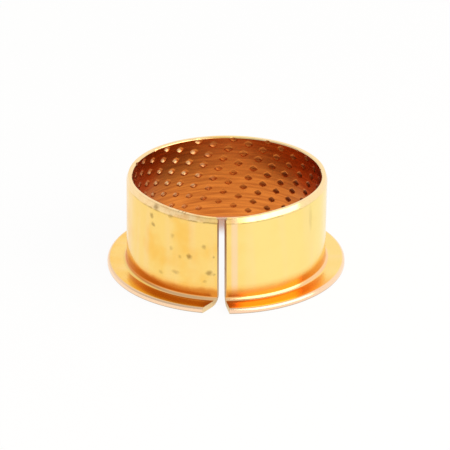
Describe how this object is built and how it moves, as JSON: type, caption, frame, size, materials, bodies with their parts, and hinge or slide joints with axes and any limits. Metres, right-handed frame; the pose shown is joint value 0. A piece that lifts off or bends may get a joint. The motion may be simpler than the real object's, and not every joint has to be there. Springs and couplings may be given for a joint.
{
  "type": "flanged bushing",
  "caption": "Split flanged bushing: one strip of bearing metal, pressed with diamond oil pockets, rolled into a sleeve with an open seam and bent out into a thrust flange.",
  "frame": {"origin": "centre of the thrust face, the flange's flat underside, which stands on the ground plane", "axes": "+Z along the bore, from the flange to the open mouth; -Y through the middle of the seam"},
  "size_m": [0.1014, 0.1013, 0.04],
  "materials": {
    "bearing_metal": "polished outside, plain rolled and pressed inside"
  },
  "bodies": {
    "root": {"flanged_bushing": "bearing_metal"}
  },
  "joints": []
}
